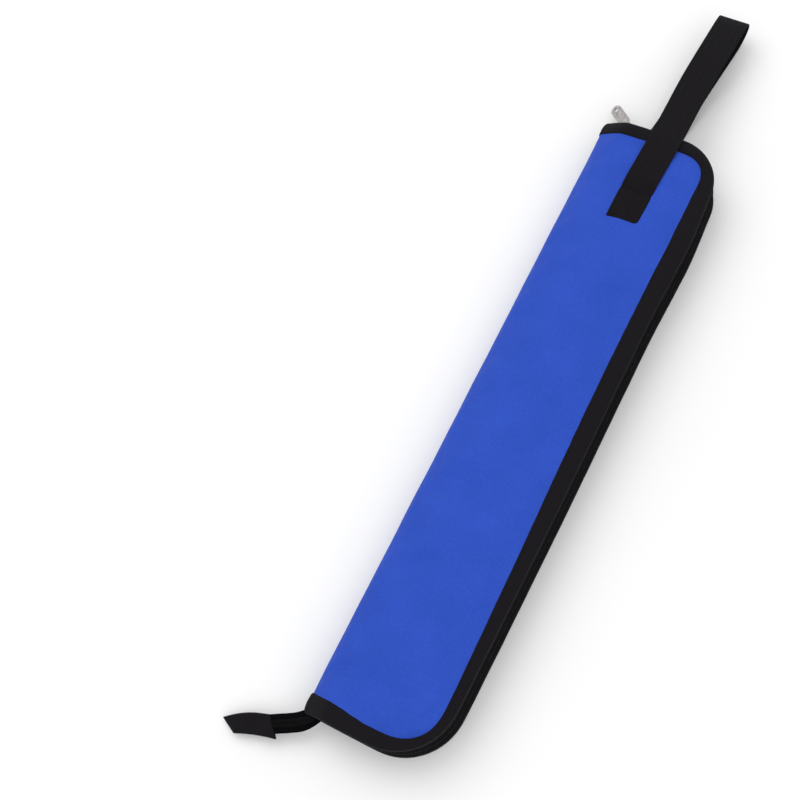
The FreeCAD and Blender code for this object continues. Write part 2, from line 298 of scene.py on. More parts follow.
def new_piece(name, verts, faces, material, cloth=None):
    """Mesh object from points in millimetres, with cloth coordinates on its points."""
    mesh = bpy.data.meshes.new(name)
    mesh.from_pydata([put(v) for v in verts], [], faces)
    if cloth:
        data = mesh.attributes.new("cloth", "FLOAT_VECTOR", "POINT").data
        for i, c in enumerate(cloth):
            data[i].vector = (c[0], c[1], 0.0)
    mesh.materials.append(material)
    mesh.shade_smooth()
    obj = bpy.data.objects.new(name, mesh)
    bpy.context.scene.collection.objects.link(obj)
    return obj


def fix_normals(obj):
    bm = bmesh.new()
    bm.from_mesh(obj.data)
    bmesh.ops.recalc_face_normals(bm, faces=bm.faces)
    bm.to_mesh(obj.data)
    bm.free()
    return obj


def modify(obj, kind, **values):
    """Adds one modifier and applies it."""
    mod = obj.modifiers.new(kind, kind)
    for key, value in values.items():
        setattr(mod, key, value)
    bpy.context.view_layer.update()
    graph = bpy.context.evaluated_depsgraph_get()
    mesh = bpy.data.meshes.new_from_object(
        obj.evaluated_get(graph), preserve_all_data_layers=True, depsgraph=graph)
    obj.modifiers.clear()
    obj.data = mesh
    mesh.shade_smooth()
    return obj


def middle(ring):
    return sum((Vector(p) for p in ring), Vector()) / len(ring)


def tube_faces(base, rings, sides):
    """Faces of a run of closed rings, each of the same number of points."""
    faces = []
    for i in range(rings - 1):
        for k in range(sides):
            a = base + i * sides + k
            b = base + i * sides + (k + 1) % sides
            faces.append((a, b, b + sides, a + sides))
    return faces


def loft(name, rings, material):
    """Closed rings joined into a tube; cloth coordinates are along and around."""
    count = len(rings[0])
    verts, cloth = [], []
    run = 0.0
    for i, ring in enumerate(rings):
        if i:
            run += (middle(ring) - middle(rings[i - 1])).length
        girth = 0.0
        for k, p in enumerate(ring):
            if k:
                girth += (Vector(p) - Vector(ring[k - 1])).length
            verts.append(p)
            cloth.append((run, girth))
    faces = tube_faces(0, len(rings), count)
    faces.append(tuple(range(count)))
    faces.append(tuple((len(rings) - 1) * count + k for k in reversed(range(count))))
    return fix_normals(new_piece(name, verts, faces, material, cloth))


def strap(name, centres, sides, width, thick, material, edge_soft=0.5):
    """Webbing: a flat rounded section swept along a line, side vectors given."""
    rings = []
    half, t = width / 2.0, thick / 2.0
    shape = [(-half, -t * 0.3), (-half + 0.25, -t * 0.85), (-half + edge_soft + 0.3, -t)]
    shape += [(half * k / 4.0, -t) for k in (-3, -2, -1, 0, 1, 2, 3)]
    shape += [(half - edge_soft - 0.3, -t), (half - 0.25, -t * 0.85), (half, -t * 0.3)]
    shape += [(x, -z) for x, z in shape[::-1]]
    for i, c in enumerate(centres):
        ahead = Vector(centres[min(i + 1, len(centres) - 1)]) - Vector(centres[max(i - 1, 0)])
        side = Vector(sides[i]).normalized()
        up = side.cross(ahead.normalized()).normalized()
        rings.append([Vector(c) + side * a + up * b for a, b in shape])
    obj = loft(name, rings, material)
    data = obj.data.attributes["cloth"].data
    for i in range(len(rings)):
        for k, (a, b) in enumerate(shape):
            old = data[i * len(shape) + k].vector
            data[i * len(shape) + k].vector = (old[0], a + half, 0.0)
    return obj


def stitches(name, points, ups, material, pitch=3.0, gap=0.6, radius=0.24, lift=0.12):
    """Row of thread stitches laid on a line of points; ends dip into the cloth."""
    pts = [Vector(p) for p in points]
    cum = [0.0]
    for a, b in zip(pts, pts[1:]):
        cum.append(cum[-1] + (b - a).length)

    def at(s):
        i = 0
        while i < len(pts) - 2 and cum[i + 1] < s:
            i += 1
        t = (s - cum[i]) / max(cum[i + 1] - cum[i], 1e-9)
        return pts[i].lerp(pts[i + 1], t), Vector(ups[i]).lerp(Vector(ups[i + 1]), t).normalized()

    verts, faces = [], []
    s = 0.2
    while s + pitch - gap < cum[-1]:
        base = len(verts)
        for k in range(5):
            f = k / 4.0
            p, up = at(s + f * (pitch - gap))
            q, _ = at(s + f * (pitch - gap) + 0.05)
            direction = (q - p).normalized()
            side = direction.cross(up).normalized()
            r = radius * (0.55 + 0.45 * math.sin(math.pi * f))
            p = p + up * (lift * math.sin(math.pi * f) - 0.06)
            for j in range(6):
                a = j * math.pi / 3.0
                verts.append(p + side * (r * math.cos(a)) + up * (r * math.sin(a)))
        faces += tube_faces(base, 5, 6)
        faces.append(tuple(base + j for j in range(6)))
        faces.append(tuple(base + 24 + j for j in reversed(range(6))))
        s += pitch
    return fix_normals(new_piece(name, verts, faces, material))


def flip(points, side):
    """Front-cover points as they are, or mirrored to the back cover."""
    if side == "front":
        return [tuple(p) for p in points]
    return [(p[0], p[1], THICK - p[2]) for p in points]


# ---------------------------------------------------------------- the bag's outline

def outline(x0, step=3.0):
    """Points (x, y, outward normal) round the zip edge, from the handle end's spine
    corner, round the zip side, to the foot's spine corner."""
    out = []
    head, foot = WIDTH - HEAD_R, WIDTH - FOOT_R
    n = max(int((head - x0) / step), 2)
    for i in range(n):
        out.append((x0 + (head - x0) * i / n, TOP, 0.0, 1.0))
    turns = 16
    for i in range(turns):
        a = math.pi / 2.0 * (1.0 - i / turns)
        nx, ny = math.cos(a), math.sin(a)
        out.append((head + HEAD_R * nx, TOP - HEAD_R + HEAD_R * ny, nx, ny))
    run = LENGTH - HEAD_R - FOOT_R
    m = int(run / (step * 1.4))
    for i in range(m):
        out.append((WIDTH, TOP - HEAD_R - run * i / m, 1.0, 0.0))
    for i in range(turns):
        a = -math.pi / 2.0 * i / turns
        nx, ny = math.cos(a), math.sin(a)
        out.append((foot + FOOT_R * nx, -TOP + FOOT_R + FOOT_R * ny, nx, ny))
    for i in range(n + 1):
        out.append((foot - (foot - x0) * i / n, -TOP, 0.0, -1.0))
    return [(x + belly(y) * nx * nx, y, nx, ny) for x, y, nx, ny in out]


def head_bulge(y):
    """The filled head end pushes the zip edge out below its corner."""
    return 2.6 * math.exp(-((y - 155.0) / 42.0) ** 2)


def belly(y):
    """The zip edge bows outwards a little between its corners."""
    return 1.3 * max(1.0 - (y / 190.0) ** 2, 0.0) + head_bulge(y)


def end_width(x, y):
    """Width of the binding along the head and along the foot."""
    return 10.4 if y > 0.0 else 13.3 - 2.8 * smooth((x - 8.0) / 42.0)


def bind_width(x, y, nx, ny):
    """Visible width of the binding; the padding pushes it wider along the zip side
    near the head, and it is pulled narrow round the corners."""
    zip_side = 9.6 + 3.0 * max(1.0 - (y / 205.0) ** 2, 0.0) + head_bulge(y)
    zip_side -= 3.0 * smooth((60.0 - y) / 200.0)
    return end_width(x, y) * ny * ny + zip_side * nx * nx - 2.2 * (2.0 * nx * ny) ** 2


def cad_face(x):
    """Height of the front cover's outer face at rest, before any softness."""
    if x >= SLOPE:
        return THICK - FACE_Z
    return THICK - HINGE_Z + (HINGE_Z - FACE_Z) * max(x, 0.0) / SLOPE


# ---------------------------------------------------------------- padded covers

# Front cover's outer cloth across the bag, from mid spine to the zip edge: x, z
PROFILE = [(-0.6, 17.0), (-0.5, 19.3), (0.2, 22.0), (2.2, 24.9), (5.5, 28.0), (10.0, 31.0), (15.0, 33.0),
           (22.0, 34.5), (32.0, 35.5), (44.0, 35.9), (56.0, 35.7), (66.0, 34.9), (73.0, 34.0),
           (79.0, 33.3), (87.0, 32.9)]
PROFILE_SMOOTH = spline([(x, z, 0.0) for x, z in PROFILE], 2)


def skin_height(x, z, rest):
    """Height of the outer cloth: flat where it is sewn (rest 0), crowned inside."""
    if x <= 2.0:
        return z
    base = cad_face(x)
    return base + (z - base) * (0.25 + 0.75 * rest)


def end_height(x):
    """Outer cloth's height at the sewn edges."""
    for a, b in zip(PROFILE_SMOOTH, PROFILE_SMOOTH[1:]):
        if a[0] <= x <= b[0]:
            z = a[1] + (b[1] - a[1]) * (x - a[0]) / max(b[0] - a[0], 1e-6)
            return skin_height(x, z, 0.0)
    return THICK - FACE_Z


def cover_rows():
    rows = []
    foot, head = FOOT_R - 2.0, HEAD_R - 2.0
    for i in range(10):
        a = math.pi / 2.0 * (1.0 - i / 10.0)
        rows.append(-TOP + 2.0 + foot * (1.0 - math.sin(a)))
    n = 84
    for i in range(n + 1):
        rows.append(-TOP + 2.0 + foot + (LENGTH - 4.0 - foot - head) * i / n)
    for i in range(9, -1, -1):
        a = math.pi / 2.0 * (1.0 - i / 10.0)
        rows.append(TOP - 2.0 - head * (1.0 - math.sin(a)))
    return rows


def right_edge(y):
    """Where the cover's cloth ends at a place along its length."""
    corner = (HEAD_R if y > 0.0 else FOOT_R) - 2.0
    over = abs(y) - (TOP - 2.0 - corner)
    if over <= 0.0:
        return WIDTH - 2.0 + belly(y)
    reach = math.sqrt(max(corner ** 2 - over ** 2, 0.0))
    return WIDTH - 2.0 - corner + reach + belly(y) * (reach / corner) ** 2


def tight(y):
    """0 at the sewn ends, 1 where the padding stands full."""
    return smooth((TOP - 3.0 - abs(y)) / 26.0)


def pad_grids(side):
    """Outer and inner cloth of one cover as grids of points, before the simulation."""
    outer, inner = [], []
    for y in cover_rows():
        full, edge = tight(y), right_edge(y)
        row_o, row_i = [], []
        for p in PROFILE_SMOOTH:
            x, z = p[0], p[1]
            if x > 30.0:
                x = 30.0 + (x - 30.0) * (edge - 30.0) / (WIDTH - 2.0 - 30.0)
            base = cad_face(x) if x > 0.5 else z
            rest = smooth((edge - x) / 14.0) * full
            z = skin_height(x, z, rest)
            if side == "back":
                z = min(z, THICK - 0.4 - 0.5 * rest)
            row_o.append(Vector((x, y, z)))
            zi = base - COVER_T
            xi = x + (COVER_T + 0.3) * (1.0 - smooth(x / 14.0))
            if x <= 0.5:
                zi = z
            elif x < 8.0:
                zi = base - COVER_T * smooth(x / 8.0)
            row_i.append(Vector((xi, y, zi)))
        outer.append(row_o)
        inner.append(row_i)
    return outer, inner


def rim_faces(rows, cols):
    """Strip of faces that joins two grids of points round their shared edge."""
    rim = list(range(cols)) + [r * cols + cols - 1 for r in range(1, rows)]
    rim += [(rows - 1) * cols + c for c in range(cols - 2, -1, -1)]
    rim += [r * cols for r in range(rows - 2, 0, -1)]
    size = rows * cols
    return [(a, b, size + b, size + a) for a, b in zip(rim, rim[1:] + rim[:1])]


def inflate(side, outer, inner):
    """Cloth simulation of one padded cover: its sewn edges are held, the air in the
    foam swells it, and no point may move more than the cap."""
    cap = SKIN_CAP[side]
    rows, cols = len(outer), len(outer[0])
    pts = [p for row in outer for p in row] + [p for row in inner for p in row]
    if side == "back":
        pts = [Vector((p[0], p[1], THICK - p[2])) for p in pts]
    faces = []
    size = rows * cols
    for r in range(rows - 1):
        for c in range(cols - 1):
            a = r * cols + c
            faces.append((a, a + 1, a + cols + 1, a + cols))
            faces.append((size + a, size + a + cols, size + a + cols + 1, size + a + 1))
    faces += rim_faces(rows, cols)
    obj = fix_normals(new_piece("pad_" + side, pts, faces, BLUE))
    hold = obj.vertex_groups.new(name="hold")
    for r in range(rows):
        for c in range(cols):
            x, y, _ = outer[r][c]
            side_gap = right_edge(y) - x - bind_width(x, y, 1.0, 0.0)
            end_gap = TOP - 2.0 - abs(y) - end_width(x, y)
            w = 1.0 - smooth((min(side_gap, end_gap) + 2.5) / 4.0)
            w = max(w, 1.0 - smooth((x - 1.0) / 4.0))
            if abs(x - HANDLE_X) < 12.0 and TAB_LOW - 1.0 < y < TAB_TOP + 1.0:
                w = 1.0
            if w > 0.01:
                hold.add([r * cols + c, size + r * cols + c], w, "REPLACE")
    mod = obj.modifiers.new("cloth", "CLOTH")
    mod.settings.quality = 6
    mod.settings.mass = 0.15
    mod.settings.tension_stiffness = 12.0
    mod.settings.compression_stiffness = 12.0
    mod.settings.bending_stiffness = 0.6
    mod.settings.shrink_min = -0.012
    mod.settings.use_pressure = True
    mod.settings.uniform_pressure_force = 3.0
    mod.settings.vertex_group_mass = "hold"
    mod.settings.effector_weights.gravity = 0.0
    mod.collision_settings.use_collision = False
    scene = bpy.context.scene
    scene.frame_start, scene.frame_end = 1, 20
    for f in range(1, 21):
        scene.frame_set(f)
    graph = bpy.context.evaluated_depsgraph_get()
    moved = [v.co.copy() for v in obj.evaluated_get(graph).data.vertices]
    obj.modifiers.clear()
    scene.frame_set(1)
    for i, (v, p) in enumerate(zip(obj.data.vertices, moved)):
        step = p - v.co
        most = (cap if i < rows * cols else LINING_CAP) * MM
        if step.length > most:
            step *= most / step.length
        v.co = v.co + step
    cos = [Vector((v.co.x / MM + WIDTH / 2.0, v.co.y / MM, v.co.z / MM)) for v in obj.data.vertices]
    bpy.data.objects.remove(obj)
    if side == "back":
        cos = [Vector((p[0], p[1], max(p[2], BACK_SKIN_Z))) for p in cos]
    grid_o = [cos[r * cols:(r + 1) * cols] for r in range(rows)]
    grid_i = [cos[size + r * cols:size + (r + 1) * cols] for r in range(rows)]
    return grid_o, grid_i


def ripple(p, side):
    """Soft creases of cloth over foam: long slack waves and small pulls at the seams."""
    x, y, z = p
    sign = 1.0 if side == "front" else -1.0
    inside = right_edge(y) - bind_width(x, y, 1.0, 0.0) + 2.0 - x
    end = TOP - end_width(x, y) - abs(y)
    body = smooth(x / 10.0) * smooth(inside / 10.0) * smooth(end / 12.0)
    long_wave = 0.45 * wob(x * 0.7 + y * 0.25, y, 0.0, 46.0, 3.1)
    long_wave += 0.22 * wob(x + 0.5 * y, y, 0.0, 19.0, 7.7)
    near_seam = smooth(inside / 3.0) * math.exp(-max(inside, 0.0) / 7.0)
    pucker = 0.16 * wob(x, y, 0.0, 6.5, 1.3) * near_seam
    lift = sign * (long_wave * body + pucker * smooth(x / 12.0))
    spine_wave = 0.35 * wob(0.0, y, z, 30.0, 5.5) * (1.0 - smooth(x / 10.0))
    z = z + lift
    if side == "back":
        z = max(z, BACK_SKIN_Z)
    return Vector((x - spine_wave, y, z))


def grid_piece(name, grid, material, side, thickness, ripples=True):
    """Single cloth through a grid of points, smoothed and given its thickness."""
    rows, cols = len(grid), len(grid[0])
    verts, cloth, faces = [], [], []
    for row in grid:
        run = 0.0
        for c, p in enumerate(row):
            if c:
                run += (p - row[c - 1]).length
            verts.append(p)
            cloth.append((run, p[1]))
    for r in range(rows - 1):
        for c in range(cols - 1):
            a = r * cols + c
            faces.append((a, a + 1, a + cols + 1, a + cols))
    obj = new_piece(name, verts, faces, material, cloth)
    modify(obj, "SUBSURF", levels=2)
    if ripples:
        for v in obj.data.vertices:
            p = Vector((v.co.x / MM + WIDTH / 2.0, v.co.y / MM, v.co.z / MM))
            v.co = put(ripple(p, side))
    modify(obj, "SOLIDIFY", thickness=thickness * MM, offset=0.0)
    return fix_normals(obj)


def fold(piece, side):
    """Cloth that runs from the spine on to a cover: its placement is baked into its mesh, with no bend at
    the hinge.
    """
    if side == "front":
        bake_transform(piece)
    else:
        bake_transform(piece)


for side in ("front", "back"):
    raw_outer, raw_inner = pad_grids(side)
    skin_grid, lining_grid = inflate(side, raw_outer, raw_inner)
    skin = grid_piece(side + "_cover_skin", skin_grid, BLUE, side, 0.5)
    lining = grid_piece(side + "_cover_lining", lining_grid, LINING, side, 0.35, False)
    layers = ((skin, ("outer_fabric", "foam"), "blue_oxford"), (lining, ("lining",), "black_lining"))
    for piece, nodes, slot_name in layers:
        names = [side + "_" + node for node in nodes]
        if side == "front":
            names += ["spine_" + node for node in nodes]
        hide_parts(*names)
        fold(piece, side)


# ---------------------------------------------------------------- edge binding

# The binding's section, folded round the edge: share of its width, height over the cloth
BIND_OUT = [(1.0, 0.2), (0.97, 0.85), (0.88, 1.15), (0.62, 1.45), (0.34, 1.25), (0.15, 0.75),
            (0.03, -0.1), (-0.01, -1.3), (0.0, -2.6), (0.06, -3.5), (0.22, -3.9), (0.5, -4.0),
            (0.82, -3.8), (0.95, -3.4), (0.98, -2.9)]
BIND_IN = [(0.84, -2.85), (0.36, -2.95), (0.16, -2.7), (0.10, -1.3), (0.16, -0.1), (0.36, 0.3),
           (0.84, 0.25)]
BIND_STEP = 3.0


def bind_path(step):
    """Places round the binding: outline point, outline normal, cloth height and the
    cloth's own normal in x and z, from mid-spine at the head to mid-spine at the foot."""
    end = []
    for i, p in enumerate(PROFILE_SMOOTH):
        if p[0] > 20.0:
            break
        a, b = PROFILE_SMOOTH[max(i - 1, 0)], PROFILE_SMOOTH[i + 1]
        n = Vector((-(b[1] - a[1]), b[0] - a[0])).normalized()
        end.append((p[0], skin_height(p[0], p[1], 0.0), n[0], n[1]))
    head = [(x, TOP, 0.0, 1.0, z, nx, nz) for x, z, nx, nz in end]
    foot = [(x, -TOP, 0.0, -1.0, z, nx, nz) for x, z, nx, nz in end[::-1]]
    around = [(x, y, nx, ny, end_height(x), 0.0, 1.0) for x, y, nx, ny in outline(22.0, step)]
    return head + around + foot


def bind_point(place, side, t, dz):
    x, y, nx, ny, z, cx, cz = place
    q = [x - nx * t + cx * dz, y - ny * t, z + cz * dz]
    if side == "back":
        q[2] = min(q[2], THICK - BACK_BIND_Z)
    return tuple(q)


def binding(side):
    rings = []
    for i, place in enumerate(bind_path(BIND_STEP)):
        s = i * BIND_STEP
        width = bind_width(*place[:4])
        turn = 1.0 if abs(place[2] * place[3]) > 0.05 else 0.0
        ring = []
        for k, (t, dz) in enumerate(BIND_OUT + BIND_IN):
            t = t * width + 0.16 * wob(s, 0.0, k * 2.0, 14.0, 2.2)
            dz += 0.10 * wob(s, 3.0, k * 1.5, 9.0, 4.2) + 0.12 * turn * math.sin(i * 1.9 + k)
            ring.append(bind_point(place, side, t, dz))
        rings.append(flip(ring, side))
    obj = loft(side + "_edge_binding_cloth", rings, BINDING)
    modify(obj, "SUBSURF", levels=1)
    if side == "back":
        for v in obj.data.vertices:
            v.co.z = max(v.co.z, BACK_BIND_Z * MM)
    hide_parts(side + "_edge_binding")
    fold(obj, side)
    sign = 1.0 if side == "front" else -1.0
    for where, share, dz, lift in (("", 0.86, 1.2, 1.0), ("_inside", 0.86, -3.85, -1.0)):
        line, ups = [], []
        for place in bind_path(BIND_STEP):
            line.append(bind_point(place, side, share * bind_width(*place[:4]), dz))
            ups.append((place[5] * lift, 0.0, place[6] * lift * sign))
        if side == "back":
            line = [(x, y, min(z, THICK - BACK_THREAD_Z)) for x, y, z in line]
        row = stitches(side + "_binding_stitches" + where, flip(line, side), ups, THREAD,
                       pitch=3.2, radius=0.2)
        fold(row, side)


# ---------------------------------------------------------------- zip

def zip_tape(side):
    rings = []
    for i, (x, y, nx, ny) in enumerate(outline(4.6)):
        base = end_height(x) - 3.0
        low = MID + 0.9
        shape = []
        for f in (0.0, 0.2, 0.4, 0.6, 0.8, 1.0):
            bulge = 0.55 * math.sin(math.pi * f) + 0.12 * wob(i * 3.0, f * 9.0, 0.0, 16.0, 6.0)
            shape.append((TAPE_IN - 0.35 - bulge, base + (low - base) * f))
        shape += [(t + 0.6, z) for t, z in shape[::-1]]
        rings.append(flip([(x - nx * t, y - ny * t, z) for t, z in shape], side))
    obj = loft(side + "_zip_tape_cloth", rings, TAPE)
    modify(obj, "SUBSURF", levels=1)
    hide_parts(side + "_zip_tape")
    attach(obj, side + "_cover")


# One loop of the nylon coil: out from the tape, up from mid height
COIL_LOOP = [(0.0, 3.4), (0.35, 2.6), (0.55, 1.4), (0.5, 0.3), (0.15, -0.35), (-0.45, -0.45),
             (-0.85, 0.2), (-0.95, 1.4), (-0.8, 2.7), (-0.5, 3.4)]
COIL_PITCH = 1.5
COIL_START = 21.5


def coil(side):
    """Nylon coil: one bent loop per pitch, the two rows half a pitch apart."""
    path = outline(7.0, 0.75)
    cum, pts = 0.0, []
    for a, b in zip(path, path[1:]):
        pts.append((cum, a, b))
        cum += math.hypot(b[0] - a[0], b[1] - a[1])
    verts, faces = [], []
    s = 0.0 if side == "front" else COIL_PITCH / 2.0
    i = 0
    while s < cum - 1.0:
        while i < len(pts) - 1 and pts[i + 1][0] <= s:
            i += 1
        start, a, b = pts[i]
        span = math.hypot(b[0] - a[0], b[1] - a[1])
        f = (s - start) / max(span, 1e-6)
        x, y = a[0] + (b[0] - a[0]) * f, a[1] + (b[1] - a[1]) * f
        nx, ny = a[2] + (b[2] - a[2]) * f, a[3] + (b[3] - a[3]) * f
        if not (y > 0.0 and x < COIL_START):
            tx, ty = -ny, nx
            base = len(verts)
            for k, (out, dz) in enumerate(COIL_LOOP):
                r = 0.3 if k not in (4, 5) else 0.36
                for j in range(5):
                    ang = j * 2.0 * math.pi / 5.0
                    off = TAPE_IN - 0.35 - out - r * math.cos(ang)
                    sh = r * math.sin(ang)
                    verts.append((x - nx * off + tx * sh, y - ny * off + ty * sh, MID + 0.15 + dz))
            faces += tube_faces(base, len(COIL_LOOP), 5)
        s += COIL_PITCH
    obj = fix_normals(new_piece(side + "_zip_coil", flip(verts, side), faces, COIL))
    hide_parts(side + "_zip_teeth")
    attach(obj, side + "_cover")


def rounded_copy(node, name, body, bevel, material):
    """CAD shape with its edges rounded, as moulded or cast parts have."""
    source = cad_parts[node]
    obj = bpy.data.objects.new(name, source.data.copy())
    obj.matrix_world = source.matrix_world
    bpy.context.scene.collection.objects.link(obj)
    bm = bmesh.new()
    bm.from_mesh(obj.data)
    bmesh.ops.remove_doubles(bm, verts=bm.verts, dist=0.00001)
    bmesh.ops.dissolve_limit(bm, angle_limit=math.radians(1.0), verts=bm.verts, edges=bm.edges)
    bm.to_mesh(obj.data)
    bm.free()
    obj.data.materials.clear()
    obj.data.materials.append(material)
    modify(obj, "BEVEL", width=bevel * MM, segments=3, limit_method="ANGLE",
           angle_limit=math.radians(35))
    modify(obj, "WEIGHTED_NORMAL")
    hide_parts(node)
    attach(obj, body)
    return obj


for side in ("front", "back"):
    binding(side)
    zip_tape(side)
    coil(side)

rounded_copy("zip_slider", "zip_slider_cast", "slider", 0.25, METAL)
rounded_copy("zip_pull_tab", "zip_pull_tab_cast", "pull_tab", 0.3, METAL)
rounded_copy("zip_stop", "zip_stop_cast", "back_cover", 0.15, METAL)


# ---------------------------------------------------------------- carry handle

def back_leg_shift(y):
    """The back leg of the handle lies nearer the spine, most of all past the head."""
    whole = 6.5 * smooth((y - 184.0) / 40.0) * smooth((334.0 - y) / 70.0)
    past_head = 5.5 * smooth((y - 205.0) / 22.0) * smooth((262.0 - y) / 26.0)
    return whole + past_head


def handle(side):
    lean = math.radians(LEAN)
    line = [(-0.4, TAB_LOW, 36.0), (-0.3, TAB_LOW + 9, 36.3), (-0.1, TAB_TOP - 3.5, 36.4),
            (0.0, TAB_TOP, 35.7), (0.2, TAB_TOP + 3.5, 37.0), (0.7, TAB_TOP + 10, 38.3),
            (1.3, 196.0, 38.3), (1.7, 208.0, 37.6), (2.0, 220.0, 36.4), (2.0, 232.0, 34.4),
            (1.7, 252.0, 31.6), (1.6, 272.0, 29.4), (2.4, 296.0, 26.8),
            (3.2, 318.0, 23.6), (3.4, 329.0, 21.4), (3.5, 334.4, 19.2), (3.5, 335.6, 17.0)]
    if side == "back":
        line = [(x - back_leg_shift(y), y, z) for x, y, z in line]
        line = [(x, y, min(z, THICK - BACK_WEB_Z)) if y < 240.0 else (x, y, z) for x, y, z in line]
    pts = spline([(HANDLE_X + x, y, z) for x, y, z in line], 6)
    pts = flip(pts, side)
    sides = []
    for p in pts:
        a = lean * smooth((p[1] - TAB_TOP + 4.0) / 26.0)
        sides.append((math.cos(a), -math.sin(a), 0.0))
    if side == "back":
        sides = [(-a, -b, -c) for a, b, c in sides]
    obj = strap(side + "_handle_webbing", pts, sides, WEB_W, 1.25, WEBBING)
    modify(obj, "SUBSURF", levels=1)
    if side == "back":
        for v in obj.data.vertices:
            v.co.z = max(v.co.z, 0.00001)
    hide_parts(side + "_handle_leg", side + "_handle_tab")
    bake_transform(obj)
    z = 36.3 + 0.66 if side == "front" else THICK - BACK_THREAD_Z
    x0, x1 = HANDLE_X - 8.8, HANDLE_X + 8.8
    y0, y1 = TAB_LOW + 2.2, TAB_TOP - 2.0
    box_line = [(x0, y1, z), (x1, y1, z), (x1, y0, z), (x0, y0, z), (x0, y1, z)]
    dense = []
    for a, b in zip(box_line, box_line[1:]):
        for k in range(8):
            dense.append(Vector(a).lerp(Vector(b), k / 8.0))
    dense.append(Vector(box_line[-1]))
    up = (0, 0, 1.0 if side == "front" else -1.0)
    row = stitches(side + "_handle_box_stitch", flip(dense, side), [up] * len(dense), THREAD,
                   pitch=2.6, radius=0.26, lift=0.14)
    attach(row, side + "_cover")


for side in ("front", "back"):
    handle(side)


# ---------------------------------------------------------------- zip tail

def tail_bend(piece):
    """The tail's root is sewn in; the piece's placement is baked into its mesh, with no turn at its hinge.
    """
    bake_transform(piece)


# One tooth on the tail: out from its middle, up from the tape, radius
TAIL_TOOTH = [(2.6, 0.5, 0.3), (1.8, 1.0, 0.34), (0.9, 1.15, 0.36), (0.1, 0.8, 0.34)]


def zip_tail():
    path = spline([(6.0, -222.0, 15.6), (3.0, -226.5, 15.2), (-1.5, -230.8, 13.8), (-8.0, -234.6, 12.0),
                   (-15.0, -238.2, 10.4), (-22.0, -242.0, 9.2)], 6)
    sides, n = [], len(path)
    for i, p in enumerate(path):
        a = path[min(i + 1, n - 1)] - path[max(i - 1, 0)]
        s = Vector((-a[1], a[0], 0.0)).normalized()
        twist = 0.9 * (1.0 - smooth(i / (n * 0.55)))
        s.z = -twist
        sides.append(s.normalized())
    tape = strap("zip_tail_tape_cloth", path, sides, 12.5, 0.9, TAPE)
    modify(tape, "SUBSURF", levels=1)
    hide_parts("zip_tail_tape")
    tail_bend(tape)
    verts, faces = [], []
    for row_side in (-1.0, 1.0):
        for i in range(3, n - 1):
            for half in (0.0, 0.5):
                c = path[i].lerp(path[i + 1], half)
                a = (path[i + 1] - path[i]).normalized()
                s = sides[i]
                up = s.cross(a).normalized()
                if up.z < 0:
                    up = -up
                base = len(verts)
                for out, lift, r in TAIL_TOOTH:
                    centre = c + s * (row_side * out) + up * lift
                    for j in range(6):
                        ang = j * math.pi / 3.0
                        verts.append(centre + a * (r * math.cos(ang)) + up * (r * math.sin(ang)))
                faces += tube_faces(base, len(TAIL_TOOTH), 6)
    teeth = fix_normals(new_piece("zip_tail_coil", verts, faces, COIL))
    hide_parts("zip_tail_teeth")
    tail_bend(teeth)


def tail_end():
    """Cloth folded over the zip's end, its cut corners uneven."""
    along = Vector((-0.899, -0.438, 0.0))
    across = Vector((-0.438, 0.899, 0.0))
    origin = Vector((-15.6, -239.6, 9.9))
    near = [Vector((-0.5, -8.8, 0.0)), Vector((4.3, 7.0, 0.0))]
    far = [Vector((29.2, -4.3, 0.0)), Vector((37.6, 6.3, 0.0))]
    nu, nv = 26, 14
    verts, cloth, faces = [], [], []
    for layer in (1.0, -1.0):
        for i in range(nu + 1):
            f = i / nu
            bow = math.sin(math.pi * f)
            low = near[0].lerp(far[0], f) + Vector((0.0, 0.9 * bow, 0.0))
            high = near[1].lerp(far[1], f) + Vector((0.0, 2.0 * bow, 0.0))
            for j in range(nv + 1):
                g = j / nv
                q = low.lerp(high, g)
                edge = min(smooth(g / 0.16), smooth((1.0 - g) / 0.1), smooth((1.0 - f) / 0.08))
                thick = 0.55 + 1.15 * edge
                sag = 0.7 * wob(q.x, q.y, 0.0, 11.0, 8.0) - 1.1 * (f - 0.5) ** 2
                z = layer * thick + sag + 0.5 * wob(q.x, q.y, layer, 5.0, 9.4) * edge
                p = origin + along * q.x + across * q.y + Vector((0, 0, z - 0.15 * q.x))
                verts.append(p)
                cloth.append((q.x, q.y))
    size = (nu + 1) * (nv + 1)
    for i in range(nu):
        for j in range(nv):
            a = i * (nv + 1) + j
            faces.append((a, a + 1, a + nv + 2, a + nv + 1))
            faces.append((size + a, size + a + nv + 1, size + a + nv + 2, size + a + 1))
    faces += rim_faces(nu + 1, nv + 1)
    obj = fix_normals(new_piece("zip_tail_end_cloth", verts, faces, BINDING, cloth))
    modify(obj, "SUBSURF", levels=1)
    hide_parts("zip_tail_end_tab")
    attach(obj, "zip_tail")
    line = [origin + along * 4.0 + across * k + Vector((0, 0, 1.9 - 0.66)) for k in (-7, -3.5, 0, 3.5, 6.5)]
    row = stitches("zip_tail_end_stitches", line, [(0, 0, 1)] * 5, THREAD, pitch=2.4, radius=0.22)
    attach(row, "zip_tail")


zip_tail()
tail_end()


# ---------------------------------------------------------------- inside: pockets

# Section of the pocket's hem: along the pocket from its mouth, and inwards
HEM_FOLD = [(0.4, 0.0), (0.9, 0.35), (0.3, 0.55), (-3.0, 0.5), (-7.0, 0.5), (-11.3, 0.45), (-11.9, 0.2)]


